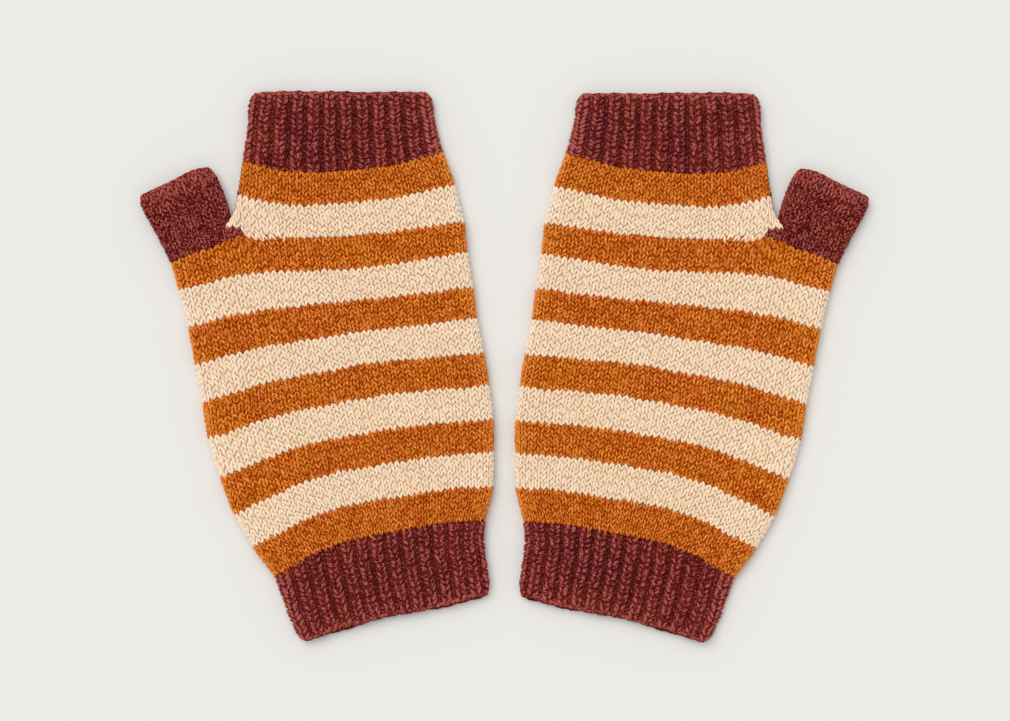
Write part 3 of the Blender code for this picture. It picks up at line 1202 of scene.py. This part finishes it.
# ---- the warmer ----
@dataclass(frozen=True)
class Warmer:
    """The five tubes of a wrist warmer, in the order in which they are knitted."""

    plain_height_mm: float = 5.4
    rib_height_mm: float = 4.8
    palm_columns: int = 84
    hand_columns: int = 70
    hand_rib_columns: int = 48
    wrist_rib_columns: int = 56
    thumb_columns: int = 24
    rim_corner_mm: float = 3.4
    thumb_corner_mm: float = 2.0
    hand_overlap_mm: float = 0.6
    hand_ribs: Ribbing = Ribbing(rise_mm=1.0, furrow_mm=1.5, first_furrow=-0.4, furrow_share=0.30,
                                 wrist_strength=0.35, finger_strength=0.6)
    wrist_ribs: Ribbing = Ribbing(rise_mm=1.0, furrow_mm=1.5, first_furrow=0.5, furrow_share=0.30,
                                  wrist_strength=0.6, finger_strength=0.35)
    crotch: Lap = Lap(columns=2, full_courses=1.9, last_course=6.0, lift_mm=1.3, reach_mm=9.0)

    def tubes(self) -> list[KnittedTube]:
        """Work out the tubes of the left warmer.

        Returns:
            The tubes, from the wrist to the fingers.
        """
        palm = TubeForm(PALM_ROWS, tuple(STRIPE_COURSES * i for i in range(len(PALM_ROWS))),
                        self.palm_columns, self.plain_height_mm, sway_seed=0.4)
        hand_base = stretch_of_row(PALM_ROWS[-1], HAND_SHARE, 1.0)
        hand_base = hand_base._replace(dip_1=hand_base.dip_1 + self.hand_overlap_mm)
        hand = TubeForm((hand_base, *HAND_ROWS), (0, 1.9, 4.2, 7, 14), self.hand_columns,
                        self.plain_height_mm, lap=self.crotch, sway_seed=1.3)
        # the fold tones below are painted highlights at the tubes' folds
        hand_rib = TubeForm(HAND_RIB_ROWS, (0, 6.85, 12.55, 15), self.hand_rib_columns,
                            self.rib_height_mm, self.hand_ribs, finger_corner_mm=self.rim_corner_mm,
                            scallop_mm=0.7, sway_seed=2.2, painted_fold_sheen=1.8, rim_tone=0.8)
        wrist_rib = TubeForm(WRIST_RIB_ROWS, (0, 4.6, 10.1, 15), self.wrist_rib_columns,
                             self.rib_height_mm, self.wrist_ribs, wrist_corner_mm=self.rim_corner_mm,
                             scallop_mm=0.5, sway_seed=3.1, painted_fold_sheen=1.3, rim_tone=0.6)
        thumb_base = stretch_of_row(PALM_ROWS[-1], 0.0, THUMB_SHARE)
        thumb = TubeForm((thumb_base, *THUMB_ROWS), (0, 7.0, 11.85, 14), self.thumb_columns,
                         self.plain_height_mm, finger_corner_mm=self.thumb_corner_mm, sway_seed=4.5,
                         tone=-0.42, painted_fold_sheen=0.2, rim_tone=0.8)
        stripes = tuple((MUSTARD, CREAM)[number % 2] for number in range(9))
        return [
            KnittedTube("wrist_rib", wrist_rib, (BURGUNDY,), seed=11, rim_at=-0.2),
            KnittedTube("palm", palm, stripes, seed=21),
            KnittedTube("thumb", thumb, (BURGUNDY,), seed=31, rim_at=14.2),
            KnittedTube("hand", hand, (CREAM, MUSTARD), seed=41, pick_up=PickUp(BURGUNDY, 3.2, 2.0)),
            KnittedTube("hand_rib", hand_rib, (BURGUNDY,), seed=51, rim_at=15.32),
        ]


# ---- the studio ----
@dataclass(frozen=True)
class Studio:
    """A pale floor, soft light and a camera straight above the pair."""

    picture_width_px: float = 1010.0
    mm_per_px: float = 0.358
    look_at_mm: tuple[float, float] = (0.2, 3.1)
    lens_mm: float = 100.0
    focus_height_mm: float = 4.0
    sensor_mm: float = 36.0
    floor_size_m: float = 3.0
    sun_from: tuple[float, float, float] = (-0.35, 0.5, 1.1)
    sun_width_deg: float = 50.0
    sun_strength: float = 1.69
    room_strength: float = 0.655

    def floor(self) -> bpy.types.Object:
        """Lay the floor, just under the warmers.

        Returns:
            The floor.
        """
        model = bmesh.new()
        bmesh.ops.create_grid(model, x_segments=1, y_segments=1, size=self.floor_size_m / 2,
                              matrix=Matrix.Translation((0, 0, -0.0002)))
        mesh = mesh_of(model, "floor")
        material, shader = new_material("pale_paper")
        shader.inputs["Base Color"].default_value = (0.750, 0.746, 0.727, 1.0)
        shader.inputs["Roughness"].default_value = 0.95
        shader.inputs["Specular IOR Level"].default_value = 0.1
        mesh.materials.append(material)
        floor = put_in_scene(mesh)
        return floor

    def light(self) -> None:
        """Light the pair evenly: a broad soft sun from the upper left, and a pale room."""
        lamp = bpy.data.lights.new("key", "SUN")
        lamp.angle = math.radians(self.sun_width_deg)
        lamp.energy = self.sun_strength
        lamp.color = (1.0, 0.985, 0.965)
        aim = (-Vector(self.sun_from)).to_track_quat("-Z", "Y")
        put_in_scene(lamp).rotation_euler = aim.to_euler()
        world = bpy.data.worlds.new("room")
        world.use_nodes = True
        backdrop = world.node_tree.nodes["Background"]
        backdrop.inputs["Color"].default_value = (1.0, 0.995, 0.985, 1.0)
        backdrop.inputs["Strength"].default_value = self.room_strength
        bpy.context.scene.world = world

    def camera(self) -> None:
        """Hang the camera straight above, so far up that the pair fills the picture as shown."""
        data = bpy.data.cameras.new("above")
        data.lens = self.lens_mm
        data.sensor_width = self.sensor_mm
        distance = self.picture_width_px * self.mm_per_px * self.lens_mm / self.sensor_mm
        camera = put_in_scene(data)
        camera.location = Vector((*self.look_at_mm, distance + self.focus_height_mm)) * MM
        bpy.context.scene.camera = camera

    def build(self) -> bpy.types.Object:
        """Build the studio.

        Returns:
            Its floor.
        """
        bpy.context.scene.view_settings.view_transform = "Standard"
        self.light()
        self.camera()
        return self.floor()


def main() -> None:
    """Build the studio and both warmers."""
    logging.basicConfig(level=logging.INFO, format="%(message)s")
    floor = Studio().build()
    fine = BeadMesh(sides=6, rings=4)
    plain = BeadMesh(sides=4, rings=2)
    for tube in Warmer().tubes():
        tube.build(fine, plain, floor)


if __name__ == "__main__":
    main()
